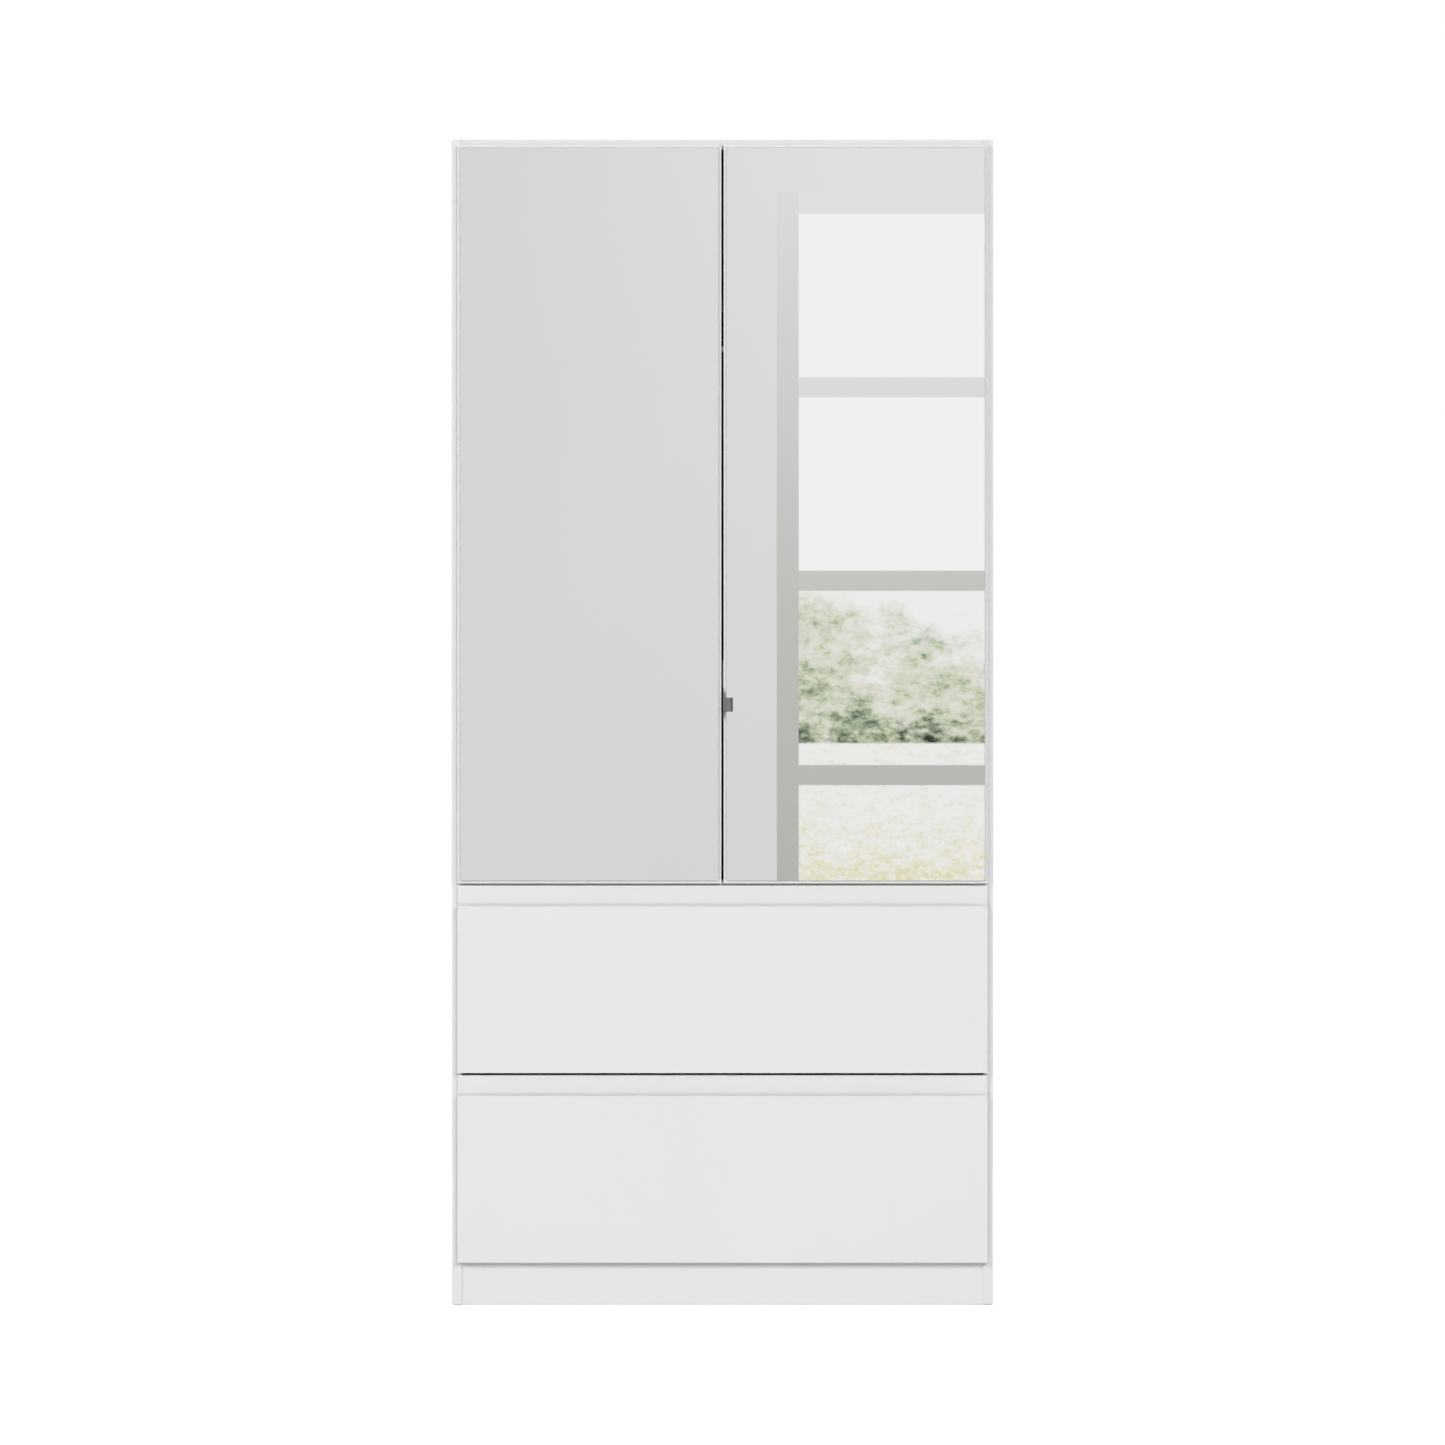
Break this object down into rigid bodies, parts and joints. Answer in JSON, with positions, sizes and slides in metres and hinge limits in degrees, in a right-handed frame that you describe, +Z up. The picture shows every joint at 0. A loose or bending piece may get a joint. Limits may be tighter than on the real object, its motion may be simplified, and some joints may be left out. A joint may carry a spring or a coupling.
{
  "type": "armoire",
  "caption": "Tall white flat-pack wardrobe with mirrored overlay doors on concealed hinges above wide handle-less drawers with recessed finger pulls.",
  "frame": {"origin": "middle of the footprint, on the floor", "axes": "+Z up, doors and drawers open towards -Y, +X to the viewer's right when facing the doors"},
  "size_m": [0.85, 0.58, 1.83],
  "materials": {
    "white_board": "white melamine foil, fine satin",
    "white_hardboard": "white painted hardboard, matt",
    "mirror_glass": "silvered float glass, polished edge",
    "handle_steel": "satin nickel",
    "nickel_steel": "nickel-plated pressed steel",
    "runner_steel": "zinc-plated rolled steel",
    "zinc_steel": "bright zinc-plated steel",
    "chrome_tube": "polished chrome",
    "white_plastic": "moulded, satin",
    "clear_rubber": "soft translucent pad",
    "grey_rubber": "soft matt strip",
    "beech": "bare fluted beech"
  },
  "bodies": {
    "carcass": {"left_side_panel": "white_board", "right_side_panel": "white_board", "top_panel": "white_board", "middle_panel": "white_board", "bottom_panel": "white_board", "kick_plate": "white_board", "rear_plinth_rail": "white_board", "upper_back_panel": "white_hardboard", "lower_back_panel": "white_hardboard", "back_panel_nails": "zinc_steel", "shelf": "white_board", "shelf_pins": "zinc_steel", "hanging_rod": "chrome_tube", "rod_sockets": "white_plastic", "left_hinge_arms": "nickel_steel", "right_hinge_arms": "nickel_steel", "left_mounting_plates": "nickel_steel", "right_mounting_plates": "nickel_steel", "upper_cabinet_runners": "runner_steel", "lower_cabinet_runners": "runner_steel", "cabinet_screws": "zinc_steel", "cam_locks": "zinc_steel", "cam_bolts": "zinc_steel", "wooden_dowels": "beech", "wall_brackets": "zinc_steel", "wall_bracket_screws": "zinc_steel", "floor_glides": "white_plastic", "door_bumpers": "clear_rubber"},
    "left_door": {"left_door_panel": "white_board", "left_door_mirror": "mirror_glass", "left_hinge_cups": "nickel_steel", "left_cup_screws": "zinc_steel"},
    "right_door": {"right_door_panel": "white_board", "right_door_mirror": "mirror_glass", "right_hinge_cups": "nickel_steel", "right_cup_screws": "zinc_steel", "edge_buffer": "grey_rubber", "door_handle": "handle_steel", "handle_screws": "zinc_steel"},
    "left_hinge_links": {"left_hinge_links": "nickel_steel"},
    "right_hinge_links": {"right_hinge_links": "nickel_steel"},
    "upper_drawer": {"upper_drawer_front": "white_board", "upper_drawer_left_side": "white_board", "upper_drawer_right_side": "white_board", "upper_drawer_back": "white_board", "upper_drawer_bottom": "white_hardboard", "upper_drawer_runners": "runner_steel", "upper_drawer_fasteners": "zinc_steel"},
    "lower_drawer": {"lower_drawer_front": "white_board", "lower_drawer_left_side": "white_board", "lower_drawer_right_side": "white_board", "lower_drawer_back": "white_board", "lower_drawer_bottom": "white_hardboard", "lower_drawer_runners": "runner_steel", "lower_drawer_fasteners": "zinc_steel"},
    "upper_middle_runners": {"upper_middle_runners": "runner_steel"},
    "lower_middle_runners": {"lower_middle_runners": "runner_steel"}
  },
  "joints": [
    {"name": "left_hinge_fold", "type": "hinge", "parent": "carcass", "child": "left_hinge_links", "pos_m": [-0.383, -0.26, 1.24175], "axis": [0, 0, -1], "range_deg": [-52.5, 0]},
    {"name": "left_door_swing", "type": "hinge", "parent": "left_hinge_links", "child": "left_door", "pos_m": [-0.404, -0.26, 1.24175], "axis": [0, 0, -1], "range_deg": [0, 157.5]},
    {"name": "right_hinge_fold", "type": "hinge", "parent": "carcass", "child": "right_hinge_links", "pos_m": [0.383, -0.26, 1.24175], "axis": [0, 0, 1], "range_deg": [-52.5, 0]},
    {"name": "right_door_swing", "type": "hinge", "parent": "right_hinge_links", "child": "right_door", "pos_m": [0.404, -0.26, 1.24175], "axis": [0, 0, 1], "range_deg": [0, 157.5]},
    {"name": "upper_drawer_slide", "type": "slide", "parent": "carcass", "child": "upper_drawer", "axis": [0, -1, 0], "range_m": [0, 0.48]},
    {"name": "upper_middle_runner_slide", "type": "slide", "parent": "carcass", "child": "upper_middle_runners", "axis": [0, -1, 0], "range_m": [0, 0.24]},
    {"name": "lower_drawer_slide", "type": "slide", "parent": "carcass", "child": "lower_drawer", "axis": [0, -1, 0], "range_m": [0, 0.48]},
    {"name": "lower_middle_runner_slide", "type": "slide", "parent": "carcass", "child": "lower_middle_runners", "axis": [0, -1, 0], "range_m": [0, 0.24]}
  ],
  "couplings": [
    {"joint": "left_hinge_fold", "follows": "left_door_swing", "ratio": -0.33333},
    {"joint": "right_hinge_fold", "follows": "right_door_swing", "ratio": -0.33333},
    {"joint": "upper_middle_runner_slide", "follows": "upper_drawer_slide", "ratio": 0.5},
    {"joint": "lower_middle_runner_slide", "follows": "lower_drawer_slide", "ratio": 0.5}
  ]
}
